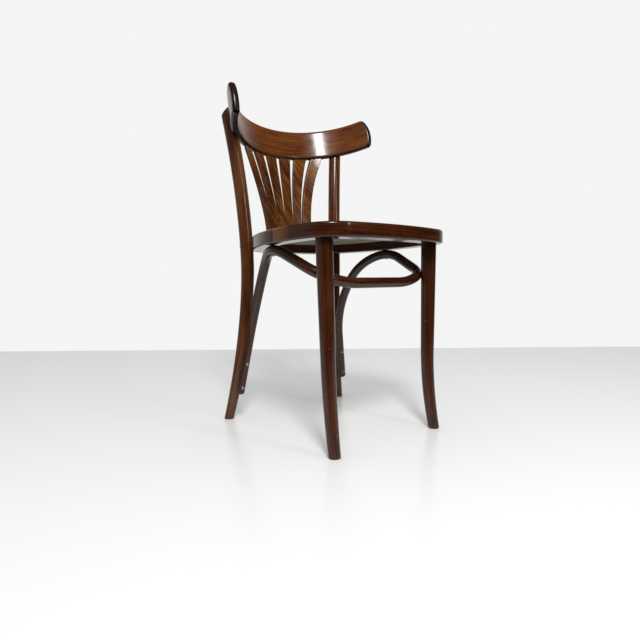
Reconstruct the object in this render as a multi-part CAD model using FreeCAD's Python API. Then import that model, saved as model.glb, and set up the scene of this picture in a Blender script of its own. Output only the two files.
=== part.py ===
import FreeCAD, Part
import math
import os

# Bentwood bistro chair with a horseshoe crest rail, a fan-shaped back board and one
# continuous bent brace under the seat.
# Millimetres. The floor is z = 0, the sitter faces -Y and the sitter's left is +X.
# The origin is on the floor under the middle of the chair.

Vec = FreeCAD.Vector
UP = Vec(0, 0, 1)
fit_clear = 0.3          # slack around glued tenons, board edges and the seat panel
hole_clear = 0.15        # slack around a screw or bolt shank

# Seat ring and seat panel.
seat_half_width = 203
seat_front_y = -239
seat_back_y = 173
seat_widest_y = -89
front_bow = 800
side_bow = 385
back_bow = 680
front_corner = 78
back_corner = 94
ring_width = 40
ring_height = 30
ring_edge_round = 5
ring_inner_round = 2.5
ring_under_z = 430       # underside of the ring over the front legs
seat_slope = 1.7         # degrees, falling toward the back
rabbet_width = 10
panel_thick = 8
panel_edge_round = 1.5
dish_depth = 3
dish_radius = 150

# Front legs.
front_leg_inset_x = 46.3  # from the side of the seat to the axis at the leg's top
front_leg_inset_y = 59.3
front_foot_x = 153
front_foot_y = -203.7
front_kick_x = 5.5       # part of the foot's place that comes from the bend at the foot
front_kick_y = 18
front_kick_height = 190
front_top_dia = 35
front_foot_dia = 25
tenon_dia = 20
tenon_length = 18
foot_chamfer = 1.5
front_taper_power = 0.7
front_leg_stations = 8

# Back posts, each one stick from the floor to the crest rail.
post_inset_x = 62.5      # from the side of the seat to the axis at the waist
post_inset_y = 30
waist_drop = 50          # below the ring's underside
post_foot_x = 183.1
post_foot_y = 178
post_top_x = 171
post_top_y = 172.4
post_top_rise = 37.5     # above the middle of the crest rail
post_dia = 32.5
post_foot_dia = 23.5
post_low_out_power = 1.85
post_low_back_power = 1.45
post_high_out_power = 1.82
post_high_back_power = 1.6
post_taper_power = 0.8
post_stations = 13

# Crest rail, a parallel-sided board bent round an axis that leans back.
crest_radius = 207       # of the inner face
crest_thick = 17
crest_height = 79
crest_half_angle = 74.4
crest_tilt = 12.1        # degrees
crest_mid_y = 214.5      # middle of the inner face
crest_rise = 290.5       # from the ring's underside to the middle of the rail
crest_end_bow = 80       # radius of the curve that each end is cut to
crest_end_drop = 10      # centre of that curve below the middle of the rail
crest_tip_round = 8
crest_heel_round = 6
crest_edge_round = 4

# Fan splat, one slotted board bent round the same axis.
splat_thick = 7
splat_foot_half = 72
splat_neck_half = 73
splat_neck_rise = 75     # above the ring's underside
splat_flare_half = 88.5
splat_flare_rise = 160
splat_top_half = 120.5
splat_sunk = 13          # hidden in the grooves of the ring and the crest rail
slot_foot_rise = 58
slot_kerf = 2.2
slot_mid_width = 5.2
slot_top_width = 11.5
slot_foot_pitch = 23.5
slot_mid_pitch = 31
slot_top_pitch = 44

# Brace rod, corners of its straight runs on the sitter's left. The end and the knee are
# set off the axis of the back post, the turn and the front bend off that of the front leg.
rod_dia = 22.5
rod_end_z = 67
rod_end_in = 0.9
rod_end_ahead = 24.1
rod_knee_z = 260.6
rod_knee_in = 9
rod_knee_ahead = 23.5
rod_haunch_x = 144.3
rod_haunch_y = 57.6
rod_haunch_drop = 45.3   # below the ring's underside
rod_crown_inset = 22     # from the side of the seat
rod_crown_y = -26.6
rod_crown_drop = 4.9
rod_turn_out = 2.5
rod_turn_behind = 23.9
rod_turn_drop = 66.9
rod_front_x = 94.3
rod_front_behind = 9.6
rod_front_drop = 86.5
bend_share = 0.98        # part of each straight run that the bends may use
rod_end_round = 6

# Screws and bolts.
wood_screw_dia = 4
wood_screw_head_dia = 8.6
wood_screw_head_height = 2.8
wood_screw_length = 36
screw_tip = 6
slot_width = 1.1
head_seat_depth = 1.2
leg_screw_low_z = 87
leg_screw_high_z = 146
grip_search_steps = 30
bolt_dia = 6
bolt_head_dia = 16
bolt_head_height = 3.5
bolt_seat_depth = 2.5
bolt_rise = 13.5         # above the ring's underside
nut_width = 10
nut_height = 5
washer_dia = 14
washer_thick = 1.5
washer_seat_depth = 0.7
bolt_end_show = 2
crest_screw_length = 27
crest_screw_drop = 8.5   # lower screw below the middle of the rail
crest_screw_pitch = 20
plug_dia = 10
plug_depth = 5
splat_screw_x = 45
splat_screw_drop = 7.5   # below the ring's top
splat_screw_length = 24
splat_screw_dia = 3
splat_screw_head_dia = 6
splat_screw_head_height = 2

# Places that follow from the sizes above.
front_leg_x = seat_half_width - front_leg_inset_x
front_leg_y = seat_front_y + front_leg_inset_y
waist_x = seat_half_width - post_inset_x
waist_y = seat_back_y - post_inset_y
waist_z = ring_under_z - waist_drop
crest_mid_z = ring_under_z + crest_rise
post_top_z = crest_mid_z + post_top_rise
splat_top_z = crest_mid_z - crest_height / 2


def polar(centre, radius, angle):
    return centre + Vec(radius * math.cos(angle), radius * math.sin(angle), 0)


def arc_edge(centre, radius, start, end):
    middle = (start + end) / 2
    return Part.Arc(polar(centre, radius, start), polar(centre, radius, middle),
                    polar(centre, radius, end)).toShape()


def corner_centre(centre_a, radius_a, centre_b, radius_b, toward):
    # centre of a corner bend that rolls inside two larger bows
    gap = centre_b - centre_a
    along = (radius_a ** 2 - radius_b ** 2 + gap.Length ** 2) / (2 * gap.Length)
    aside = math.sqrt(radius_a ** 2 - along ** 2)
    unit = Vec(gap).normalize()
    across = Vec(-unit.y, unit.x, 0)
    choices = [centre_a + unit * along + across * aside, centre_a + unit * along - across * aside]
    return max(choices, key=lambda point: point.dot(toward))


def heading(centre, point):
    return math.atan2(point.y - centre.y, point.x - centre.x)


def seat_face(inset):
    # rounded seat outline of eight tangent arcs, drawn in by inset all round
    front_mid = Vec(0, seat_front_y + front_bow, 0)
    side_mid = Vec(seat_half_width - side_bow, seat_widest_y, 0)
    back_mid = Vec(0, seat_back_y - back_bow, 0)
    fore = corner_centre(front_mid, front_bow - front_corner, side_mid,
                         side_bow - front_corner, Vec(1, -1, 0))
    aft = corner_centre(back_mid, back_bow - back_corner, side_mid,
                        side_bow - back_corner, Vec(1, 1, 0))
    front_end = heading(front_mid, fore)
    side_start = heading(side_mid, fore)
    side_end = heading(side_mid, aft)
    back_start = heading(back_mid, aft)
    half = [arc_edge(fore, front_corner - inset, front_end, side_start),
            arc_edge(side_mid, side_bow - inset, side_start, side_end),
            arc_edge(aft, back_corner - inset, side_end, back_start)]
    other = [mirrored(edge) for edge in half]
    front = arc_edge(front_mid, front_bow - inset, -math.pi - front_end, front_end)
    back = arc_edge(back_mid, back_bow - inset, back_start, math.pi - back_start)
    edges = Part.__sortEdges__([front, back] + half + other)
    return Part.Face(Part.Wire(edges))


def tilt_with_seat(shape):
    shape.rotate(Vec(0, front_leg_y, 0), Vec(1, 0, 0), -seat_slope)
    shape.translate(Vec(0, 0, ring_under_z))
    return shape


def flat_edges(shape, z):
    return [edge for edge in shape.Edges
            if abs(edge.BoundBox.ZMin - z) < fit_clear and abs(edge.BoundBox.ZMax - z) < fit_clear]


def midpoint(edge):
    return edge.valueAt((edge.FirstParameter + edge.LastParameter) / 2)


def lifted(shape, height):
    shape.translate(UP * height)
    return shape


def make_ring():
    blank = seat_face(0).extrude(UP * ring_height)
    rims = flat_edges(blank, 0) + flat_edges(blank, ring_height)
    blank = blank.makeFillet(ring_edge_round, rims)
    ring = blank.cut(seat_face(ring_width).extrude(UP * ring_height))
    inside = seat_face(ring_width / 2)
    mouth = [edge for edge in flat_edges(ring, 0)
             if inside.isInside(midpoint(edge), fit_clear, True)]
    ring = ring.makeFillet(ring_inner_round, mouth)
    rabbet = seat_face(ring_width - rabbet_width).extrude(UP * panel_thick)
    return tilt_with_seat(ring.cut(lifted(rabbet, ring_height - panel_thick)))


def make_panel():
    panel = seat_face(ring_width - rabbet_width + fit_clear).extrude(UP * panel_thick)
    panel = panel.makeFillet(panel_edge_round, flat_edges(panel, panel_thick))
    ball_radius = (dish_radius ** 2 + dish_depth ** 2) / (2 * dish_depth)
    middle = Vec(0, (seat_front_y + seat_back_y) / 2, panel_thick - dish_depth + ball_radius)
    panel = panel.cut(Part.makeSphere(ball_radius, middle))
    return tilt_with_seat(lifted(panel, ring_height - panel_thick))


def under_seat_block():
    # everything from the ring's underside upward
    big = 4 * seat_half_width
    return tilt_with_seat(Part.makeBox(big, big, big, Vec(-big / 2, -big / 2, 0)))


def lofted_stick(axis, diameter, heights):
    hoops = []
    for z in heights:
        run = axis(z + 1) - axis(z - 1)
        hoop = Part.Wire(Part.makeCircle(diameter(z) / 2))
        hoop.Placement = FreeCAD.Placement(axis(z), FreeCAD.Rotation(UP, run))
        hoops.append(hoop)
    return Part.makeLoft(hoops, True)


def spread(low, high, count):
    return [low + (high - low) * step / count for step in range(count + 1)]


def cut_foot(leg):
    big = 4 * seat_half_width
    leg = leg.cut(Part.makeBox(big, big, big, Vec(-big / 2, -big / 2, -big)))
    return leg.makeChamfer(foot_chamfer, flat_edges(leg, 0))


def front_axis(z):
    rise = z / ring_under_z
    kick = max(0, 1 - z / front_kick_height) ** 2
    foot_x = front_foot_x - front_kick_x
    foot_y = front_foot_y + front_kick_y
    return Vec(foot_x + (front_leg_x - foot_x) * rise + front_kick_x * kick,
               foot_y + (front_leg_y - foot_y) * rise - front_kick_y * kick, z)


def front_dia(z):
    rise = max(0, z / ring_under_z)
    return front_foot_dia + (front_top_dia - front_foot_dia) * rise ** front_taper_power


def post_axis(z):
    # nearly upright at the waist, curving out and back toward the foot and toward the top
    low = max(0, (waist_z - z) / waist_z)
    high = max(0, (z - waist_z) / (post_top_z - waist_z))
    return Vec(waist_x + (post_foot_x - waist_x) * low ** post_low_out_power
               + (post_top_x - waist_x) * high ** post_high_out_power,
               waist_y + (post_foot_y - waist_y) * low ** post_low_back_power
               + (post_top_y - waist_y) * high ** post_high_back_power, z)


def post_diameter(z):
    share = min(1, max(0, z / waist_z))
    return post_foot_dia + (post_dia - post_foot_dia) * share ** post_taper_power


def make_front_leg():
    heights = spread(-ring_height / 2, ring_under_z + ring_height, front_leg_stations)
    leg = lofted_stick(front_axis, front_dia, heights)
    leg = cut_foot(leg).cut(under_seat_block())
    tenon = Part.makeCylinder(tenon_dia / 2, tenon_length + ring_height,
                              Vec(front_leg_x, front_leg_y, ring_under_z - ring_height))
    return leg.fuse(tenon).removeSplitter()


def tenon_socket():
    return Part.makeCylinder(tenon_dia / 2 + fit_clear, tenon_length + 1 + ring_height,
                             Vec(front_leg_x, front_leg_y, ring_under_z - ring_height))


def make_post():
    heights = spread(-ring_height / 2, post_top_z + ring_height, post_stations)
    post = cut_foot(lofted_stick(post_axis, post_diameter, heights))
    top = post_axis(post_top_z)
    outward = Vec(top.x, top.y - crest_mid_y + crest_radius, 0).normalize()
    big = 2 * crest_height
    saw = Part.makeBox(big, big, big, Vec(-big / 2, -big / 2, 0))
    saw.Placement = FreeCAD.Placement(top, FreeCAD.Rotation(UP, outward + UP))
    return post.cut(saw)


def lean_with_crest(shape):
    # from a frame at the middle of the crest's inner face, its bend axis upright
    shape.rotate(Vec(), Vec(1, 0, 0), -crest_tilt)
    shape.translate(Vec(0, crest_mid_y, crest_mid_z))
    return shape


def bent_board(inner, outer, half_angle, low_z, high_z):
    # part of a hollow cylinder round the crest's bend axis
    start = math.radians(90 - half_angle)
    end = math.radians(90 + half_angle)
    foot = Vec(0, -crest_radius, low_z)
    sides = [Part.makeLine(polar(foot, inner, angle), polar(foot, outer, angle))
             for angle in (start, end)]
    arcs = [arc_edge(foot, radius, start, end) for radius in (inner, outer)]
    face = Part.Face(Part.Wire(Part.__sortEdges__(arcs + sides)))
    return face.extrude(UP * (high_z - low_z))


def crest_board(low_z, high_z, half_angle):
    return bent_board(crest_radius, crest_radius + crest_thick, half_angle, low_z, high_z)


def beyond_crest_end():
    # waste past the curved end on the sitter's left, curve bulging along the board
    deep = 4 * crest_thick
    waste = Part.makeBox(2 * crest_end_bow, deep, 2 * crest_end_bow,
                         Vec(-crest_end_bow, -deep / 2, -crest_end_bow))
    kept = Part.makeCylinder(crest_end_bow, 2 * deep, Vec(-crest_end_bow, -deep, 0), Vec(0, 1, 0))
    waste = waste.cut(kept)
    turn = math.radians(crest_half_angle)
    middle = crest_radius + crest_thick / 2
    tip = Vec(middle * math.sin(turn), middle * math.cos(turn) - crest_radius, -crest_end_drop)
    waste.Placement = FreeCAD.Placement(tip, FreeCAD.Rotation(UP, -crest_half_angle))
    return waste


def make_crest():
    # the edges through the thickness are rounded first, then the rims all round
    overlong = 1.1 * crest_half_angle
    rail = crest_board(-crest_height / 2, crest_height / 2, overlong)
    for waste in pair(beyond_crest_end()):
        rail = rail.cut(waste)
    tops = [edge for edge in rail.Edges if is_straight(edge) and edge.CenterOfMass.z > 0]
    rail = rail.makeFillet(crest_tip_round, tops)
    heels = [edge for edge in rail.Edges
             if is_straight(edge) and edge.CenterOfMass.z < fit_clear - crest_height / 2]
    rail = rail.makeFillet(crest_heel_round, heels)
    rims = [edge for edge in rail.Edges if not is_straight(edge)]
    return lean_with_crest(rail.makeFillet(crest_edge_round, rims))


def is_straight(edge):
    # on the bent board only the edges through its thickness are
    return edge.Curve.TypeId == "Part::GeomLine"


def over_crest():
    # room above the crest's seat, so a post ends flush with the back of the rail
    return lean_with_crest(crest_board(0, crest_height, crest_half_angle))


def elevation(edges, reach):
    # front-view outline made into a block that runs through the back
    wall = Part.Face(Part.Wire(Part.__sortEdges__(edges)))
    return wall.extrude(Vec(0, reach, 0))


def splat_outline(grow):
    foot = Vec(splat_foot_half + grow, 0, ring_under_z - ring_height)
    neck = Vec(splat_neck_half + grow, 0, ring_under_z + splat_neck_rise)
    flare = Vec(splat_flare_half + grow, 0, ring_under_z + splat_flare_rise)
    shoulder = Vec(splat_top_half + grow, 0, splat_top_z)
    top = shoulder + UP * crest_height
    half = [Part.makeLine(foot, neck), Part.Arc(neck, flare, shoulder).toShape(),
            Part.makeLine(shoulder, top)]
    across = [Part.makeLine(point, Vec(-point.x, 0, point.z)) for point in (foot, top)]
    return elevation(half + [mirrored(edge) for edge in half] + across, 2 * crest_radius)


def slot_cutter(rank, grow):
    # one tapering gap between two fingers of the board, rank counted from the middle
    foot_z = ring_under_z + slot_foot_rise
    stations = [(slot_foot_pitch * rank, foot_z, slot_kerf),
                (slot_mid_pitch * rank, ring_under_z + splat_flare_rise, slot_mid_width),
                (slot_top_pitch * rank, splat_top_z, slot_top_width)]
    edges = []
    feet = []
    tops = []
    for hand in (-1, 1):
        side = [Vec(x + hand * (width / 2 - grow), 0, z) for x, z, width in stations]
        over = side[2] * 2 - side[1]
        edges += [Part.Arc(*side).toShape(), Part.makeLine(side[2], over)]
        feet.append(side[0])
        tops.append(over)
    low = Vec(slot_foot_pitch * rank, 0, foot_z - slot_kerf / 2 + grow)
    edges += [Part.Arc(feet[0], low, feet[1]).toShape(), Part.makeLine(*tops)]
    return elevation(edges, 2 * crest_radius)


def make_splat(grow):
    # grown all round by the fitting slack, the same board cuts its own grooves
    middle = crest_radius + crest_thick / 2
    half_thick = splat_thick / 2 + grow
    low_z = ring_under_z - ring_height - crest_mid_z
    board = bent_board(middle - half_thick, middle + half_thick, crest_half_angle / 2, low_z,
                       splat_sunk - crest_height / 2 + grow)
    board = lean_with_crest(board).common(splat_outline(grow))
    for rank in range(-2, 3):
        board = board.cut(slot_cutter(rank, grow))
    reach = 2 * seat_half_width
    under = Part.makeBox(2 * reach, reach, reach, Vec(-reach, 0, ring_height - splat_sunk - reach))
    return board.cut(tilt_with_seat(under))


def bent_wire(corners):
    # straight runs joined by the widest tangent bends that fit between them
    runs = [corners[i + 1] - corners[i] for i in range(len(corners) - 1)]
    edges = []
    last = corners[0]
    for i in range(1, len(corners) - 1):
        back, ahead = Vec(runs[i - 1]) * -1, Vec(runs[i])
        reach = bend_share * min(back.Length, ahead.Length) / 2
        back.normalize()
        ahead.normalize()
        angle = back.getAngle(ahead)
        radius = reach * math.tan(angle / 2)
        middle = (back + ahead).normalize()
        centre = corners[i] + middle * math.hypot(radius, reach)
        start, end = corners[i] + back * reach, corners[i] + ahead * reach
        edges.append(Part.makeLine(last, start))
        edges.append(Part.Arc(start, centre - middle * radius, end).toShape())
        last = end
    edges.append(Part.makeLine(last, corners[-1]))
    return Part.Wire(edges)


def brace_corners():
    end = post_axis(rod_end_z) - Vec(rod_end_in, rod_end_ahead, 0)
    knee = post_axis(rod_knee_z) - Vec(rod_knee_in, rod_knee_ahead, 0)
    haunch = Vec(rod_haunch_x, rod_haunch_y, ring_under_z - rod_haunch_drop)
    crown = Vec(seat_half_width - rod_crown_inset, rod_crown_y, ring_under_z - rod_crown_drop)
    turn = front_axis(ring_under_z - rod_turn_drop) + Vec(rod_turn_out, rod_turn_behind, 0)
    front = front_axis(ring_under_z - rod_front_drop) + Vec(0, rod_front_behind, 0)
    front.x = rod_front_x
    half = [end, knee, haunch, crown, turn, front]
    return half + [Vec(-point.x, point.y, point.z) for point in reversed(half)]


def make_brace():
    corners = brace_corners()
    circle = Part.Wire(Part.makeCircle(rod_dia / 2))
    circle.Placement = FreeCAD.Placement(corners[0], FreeCAD.Rotation(UP, corners[1] - corners[0]))
    rod = bent_wire(corners).makePipe(Part.Face(circle))
    ends = [edge for edge in rod.Edges if edge.Closed and edge.BoundBox.ZMax < corners[0].z + rod_dia / 2]
    return rod.makeFillet(rod_end_round, ends)


def turned(profile):
    # solid of revolution about Z from corner points (radius, height)
    points = [Vec(radius, 0, height) for radius, height in profile]
    return Part.Face(Part.makePolygon(points + [points[0]])).revolve(Vec(), UP, 360)


def wood_screw(diameter, length, head_dia, head_height):
    # domed slotted head below z = 0, shank and point above it
    stem = turned([(0, 0), (diameter / 2, 0), (diameter / 2, length - screw_tip), (0, length)])
    slot = Part.makeBox(head_dia, slot_width, head_height / 2,
                        Vec(-head_dia / 2, -slot_width / 2, -head_height))
    return domed_head(head_dia, head_height).cut(slot).fuse(stem)


def screw_bore(diameter, length, head_dia, head_height):
    # hole for the shank with a flat seat for the head
    hole = Part.makeCylinder(diameter / 2 + hole_clear, length + hole_clear)
    seat = Part.makeCylinder(head_dia / 2 + fit_clear, head_dia, Vec(0, 0, -head_dia))
    return hole.fuse(seat)


def aim(shape, point, direction):
    copy = shape.copy()
    copy.Placement = FreeCAD.Placement(point, FreeCAD.Rotation(UP, direction))
    return copy


def mirrored(shape):
    return shape.mirror(Vec(), Vec(1, 0, 0))


def pair(shape):
    return [shape, mirrored(shape)]


def nearest_on(wire, point):
    return wire.distToShape(Part.Vertex(point))[1][0][0]


def brace_screw_places():
    # twice to each post, once up into the ring, once into each front leg
    corners = brace_corners()
    path = bent_wire(corners)
    aims = []
    for z in (leg_screw_low_z, leg_screw_high_z):
        aims.append((nearest_on(path, post_axis(z)), post_axis(z)))
    crown = nearest_on(path, corners[3])
    aims.append((crown, crown + UP))
    heights = spread(corners[5].z, corners[4].z + rod_dia / 2, grip_search_steps)
    grip = min((front_axis(z) for z in heights),
               key=lambda axis: (nearest_on(path, axis) - axis).Length)
    aims.append((nearest_on(path, grip), grip))
    places = []
    for start, target in aims:
        way = (target - start).normalize()
        places.append((start - way * (rod_dia / 2 - head_seat_depth), way))
    return places


def bolt_place():
    # outer end, direction and wood thickness of the bolt that ties a post to the ring
    z = ring_under_z + bolt_rise - math.radians(seat_slope) * (waist_y - front_leg_y)
    centre = post_axis(z)
    level = Vec(centre.x, centre.y, 0)
    way = (nearest_on(seat_face(ring_width / 2).OuterWire, level) - level).normalize()
    start = centre - way * (post_dia / 2 - bolt_seat_depth)
    far = nearest_on(seat_face(ring_width).OuterWire, level) - level
    return start, way, far.Length + post_dia / 2 - bolt_seat_depth - washer_seat_depth


def domed_head(head_dia, head_height):
    radius = head_dia / 2
    ball = (radius ** 2 + head_height ** 2) / (2 * head_height)
    dome = Part.makeSphere(ball, Vec(0, 0, ball - head_height))
    return dome.common(Part.makeCylinder(radius, head_height, Vec(0, 0, -head_height)))


def make_nut():
    corner = nut_width / math.sqrt(3)
    ring = [Vec(corner, 0, 0)]
    for turn in range(6):
        ring.append(polar(Vec(), corner, math.radians(60 * (turn + 1))))
    nut = Part.Face(Part.makePolygon(ring)).extrude(UP * nut_height)
    return nut.cut(Part.makeCylinder(bolt_dia / 2, nut_height))


def make_washer():
    plate = Part.makeCylinder(washer_dia / 2, washer_thick)
    return plate.cut(Part.makeCylinder(bolt_dia / 2 + hole_clear, washer_thick))


def crest_screw_places():
    # from the back of the post toward the axis of the crest's bend
    places = []
    low = crest_mid_z - crest_screw_drop
    for z in (low, low + crest_screw_pitch):
        centre = post_axis(z)
        way = Vec(-centre.x, crest_mid_y - crest_radius - centre.y, 0).normalize()
        places.append((centre - way * (post_dia / 2), way))
    return places


def splat_screw_place():
    edge = nearest_on(seat_face(0).OuterWire, Vec(splat_screw_x, 2 * seat_back_y, 0))
    z = ring_under_z + ring_height - splat_screw_drop
    z -= math.radians(seat_slope) * (seat_back_y - front_leg_y)
    return Vec(edge.x, edge.y - splat_screw_head_height, z), Vec(0, -1, 0)


def save(solids, name):
    shape = solids[0] if len(solids) == 1 else Part.makeCompound(solids)
    shape.exportStep(os.path.join("parts", name + ".step"))


def build():
    front_leg = make_front_leg()
    post = make_post()
    brace = make_brace()
    crest = make_crest()
    splat = make_splat(0)
    splat_room = make_splat(fit_clear)

    # joints in the wood: tenon sockets, post housings, splat grooves, notches for brace and crest
    ring = make_ring().cut(splat_room)
    for cutter in pair(tenon_socket()) + pair(post):
        ring = ring.cut(cutter)
    plain_post = post
    post = post.cut(crest).cut(over_crest()).cut(brace)
    crest = crest.cut(splat_room)
    front_leg = front_leg.cut(brace)

    # brace screws
    size = (wood_screw_dia, wood_screw_length, wood_screw_head_dia, wood_screw_head_height)
    brace_screws = []
    for point, way in brace_screw_places():
        hole = aim(screw_bore(*size), point, way)
        front_leg, post = front_leg.cut(hole), post.cut(hole)
        for cutter in pair(hole):
            brace, ring = brace.cut(cutter), ring.cut(cutter)
        brace_screws += pair(aim(wood_screw(*size), point, way))

    # bolts, washers and nuts between posts and ring
    start, way, grip = bolt_place()
    stem = grip + washer_thick + nut_height + bolt_end_show
    bolt = domed_head(bolt_head_dia, bolt_head_height).fuse(Part.makeCylinder(bolt_dia / 2, stem))
    hole = aim(screw_bore(bolt_dia, 2 * grip, bolt_head_dia, bolt_head_height), start, way)
    seat = aim(Part.makeCylinder(washer_dia / 2 + fit_clear, ring_width), start + way * grip, way)
    post = post.cut(hole)
    for cutter in pair(hole) + pair(seat):
        ring = ring.cut(cutter)
    post_bolts = pair(aim(bolt, start, way))
    post_washers = pair(aim(make_washer(), start + way * grip, way))
    post_nuts = pair(aim(make_nut(), start + way * (grip + washer_thick), way))

    # crest screws under wooden plugs
    crest_screws = []
    crest_plugs = []
    size = (wood_screw_dia, crest_screw_length, wood_screw_head_dia, wood_screw_head_height)
    for point, way in crest_screw_places():
        head = point + way * (plug_depth + wood_screw_head_height)
        hole = aim(screw_bore(*size), head, way)
        pocket = aim(Part.makeCylinder(plug_dia / 2, 2 * plug_depth), point - way * plug_depth, way)
        crest_plugs += pair(plain_post.common(pocket))
        post = post.cut(hole).cut(pocket)
        for cutter in pair(hole):
            crest = crest.cut(cutter)
        crest_screws += pair(aim(wood_screw(*size), head, way))

    # screws through the back of the ring into the foot of the splat
    size = (splat_screw_dia, splat_screw_length, splat_screw_head_dia, splat_screw_head_height)
    point, way = splat_screw_place()
    for cutter in pair(aim(screw_bore(*size), point, way)):
        ring, splat = ring.cut(cutter), splat.cut(cutter)
    splat_screws = pair(aim(wood_screw(*size), point, way))

    save([ring], "seat_ring")
    save([make_panel()], "seat_panel")
    save([front_leg], "front_leg_left")
    save([mirrored(front_leg)], "front_leg_right")
    save([post], "back_post_left")
    save([mirrored(post)], "back_post_right")
    save([brace], "brace")
    save([crest], "crest_rail")
    save([splat], "fan_splat")
    save(brace_screws, "brace_screws")
    save(post_bolts, "post_bolts")
    save(post_washers, "post_washers")
    save(post_nuts, "post_nuts")
    save(crest_screws, "crest_screws")
    save(crest_plugs, "crest_plugs")
    save(splat_screws, "splat_screws")


os.makedirs("parts", exist_ok=True)
build()
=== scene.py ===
import math

import bmesh
import bpy
from mathutils import Matrix, Vector


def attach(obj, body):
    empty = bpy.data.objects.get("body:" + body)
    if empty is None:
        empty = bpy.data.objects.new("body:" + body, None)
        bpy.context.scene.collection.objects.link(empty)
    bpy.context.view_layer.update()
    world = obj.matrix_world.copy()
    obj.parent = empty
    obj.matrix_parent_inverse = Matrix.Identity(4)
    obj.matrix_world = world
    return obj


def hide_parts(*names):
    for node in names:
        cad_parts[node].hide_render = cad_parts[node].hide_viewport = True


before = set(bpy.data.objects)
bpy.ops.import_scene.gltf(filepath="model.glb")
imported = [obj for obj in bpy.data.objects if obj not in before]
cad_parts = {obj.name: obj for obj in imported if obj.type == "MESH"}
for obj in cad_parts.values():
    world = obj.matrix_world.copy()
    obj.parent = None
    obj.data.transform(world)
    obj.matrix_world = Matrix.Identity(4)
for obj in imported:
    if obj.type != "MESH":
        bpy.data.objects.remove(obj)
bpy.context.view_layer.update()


# Seat ring
# A beech ring in the round-cornered shape of a bistro seat, its outer edges rounded over
# and its top inner edge rebated for the panel. It is made of strips glued end to end, so
# one joint shows on the sitter's right near the back post. Stained walnut, gloss lacquer.
MM = 0.001
SEAT_HALF_WIDTH = 203
SEAT_FRONT_Y = -239
SEAT_BACK_Y = 173
SEAT_WIDEST_Y = -89
FRONT_BOW = 800            # radii of the four long bows and of the corners between them
SIDE_BOW = 385
BACK_BOW = 680
FRONT_CORNER = 78
BACK_CORNER = 94
RING_WIDTH = 40
RING_HEIGHT = 30
RING_EDGE_ROUND = 5
RING_INNER_ROUND = 2.5
RING_UNDER_Z = 430
SEAT_SLOPE = math.radians(1.7)
SEAT_TURN_Y = -179.7       # the seat turns about this line to fall toward the back
RABBET_WIDTH = 10
RABBET_EDGE_ROUND = 0.8
LEDGE_EDGE_ROUND = 0.5
PANEL_THICK = 8
SHARP_EDGE = 35            # degrees, a sharper turn than this shows as an edge


def bow_corner(centre_a, radius_a, centre_b, radius_b, toward):
    """The centre of the corner arc between two bows, from the bows' own centres and their
    radii less the corner's."""
    gap = centre_b - centre_a
    along = (radius_a ** 2 - radius_b ** 2 + gap.length ** 2) / (2 * gap.length)
    aside = math.sqrt(radius_a ** 2 - along ** 2)
    unit = gap.normalized()
    across = Vector((-unit.y, unit.x))
    choices = [centre_a + unit * along + across * side * aside for side in (1, -1)]
    return max(choices, key=lambda point: point.dot(toward))


def seat_outline(step=4):
    """Points round the seat's edge, counterclockwise from the middle of the front, each
    with its outward direction and its distance along the edge."""
    front = Vector((0, SEAT_FRONT_Y + FRONT_BOW))
    side = Vector((SEAT_HALF_WIDTH - SIDE_BOW, SEAT_WIDEST_Y))
    back = Vector((0, SEAT_BACK_Y - BACK_BOW))
    fore = bow_corner(front, FRONT_BOW - FRONT_CORNER, side, SIDE_BOW - FRONT_CORNER,
                      Vector((1, -1)))
    aft = bow_corner(back, BACK_BOW - BACK_CORNER, side, SIDE_BOW - BACK_CORNER, Vector((1, 1)))

    def heading(centre, point):
        return math.atan2(point.y - centre.y, point.x - centre.x)

    turns = [-math.pi / 2, heading(front, fore), heading(side, fore), heading(side, aft),
             heading(back, aft), math.pi / 2]
    bows = [(front, FRONT_BOW), (fore, FRONT_CORNER), (side, SIDE_BOW), (aft, BACK_CORNER),
            (back, BACK_BOW)]
    half = []
    along = 0
    for (centre, radius), start, end in zip(bows, turns, turns[1:]):
        count = max(2, round(radius * (end - start) / step))
        for i in range(count):
            angle = start + (end - start) * i / count
            out = Vector((math.cos(angle), math.sin(angle)))
            half.append((centre + out * radius, out, along + radius * (angle - start)))
        along += radius * (end - start)
    middle = (Vector((0, SEAT_BACK_Y)), Vector((0, 1)), along)
    other = [(Vector((-p.x, p.y)), Vector((-n.x, n.y)), 2 * along - s) for p, n, s in half[:0:-1]]
    return half + [middle] + other, 2 * along


def on_seat(x, y, height):
    """From the seat's own level plane to the chair, whose seat falls toward the back."""
    ahead = y - SEAT_TURN_Y
    turned_y = ahead * math.cos(SEAT_SLOPE) + height * math.sin(SEAT_SLOPE)
    turned_z = height * math.cos(SEAT_SLOPE) - ahead * math.sin(SEAT_SLOPE)
    return Vector((x, SEAT_TURN_Y + turned_y, RING_UNDER_Z + turned_z))


def quarter(centre_a, centre_b, radius, start, steps=5):
    """Corner points of a rounded-over edge, a quarter circle clockwise from start."""
    return [(centre_a + radius * math.cos(start - math.pi / 2 * i / steps),
             centre_b + radius * math.sin(start - math.pi / 2 * i / steps))
            for i in range(steps + 1)]


def piece(name, verts, faces, grain, sharp=SHARP_EDGE):
    """A mesh in the chair's place, from millimetres. grain gives each face corner its place
    in the wood, in millimetres: across, through and along the grain."""
    mesh = bpy.data.meshes.new(name)
    mesh.from_pydata([Vector(v) * MM for v in verts], [], faces)
    layer = mesh.attributes.new("grain", "FLOAT_VECTOR", "CORNER")
    layer.data.foreach_set("vector", [value for corner in grain for value in corner])
    mesh.polygons.foreach_set("use_smooth", [True] * len(mesh.polygons))
    mesh.set_sharp_from_angle(angle=math.radians(sharp))
    mesh.validate()
    made = bpy.data.objects.new(name, mesh)
    bpy.context.scene.collection.objects.link(made)
    even = made.modifiers.new("even_shading", "WEIGHTED_NORMAL")
    even.keep_sharp = True
    return made


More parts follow.
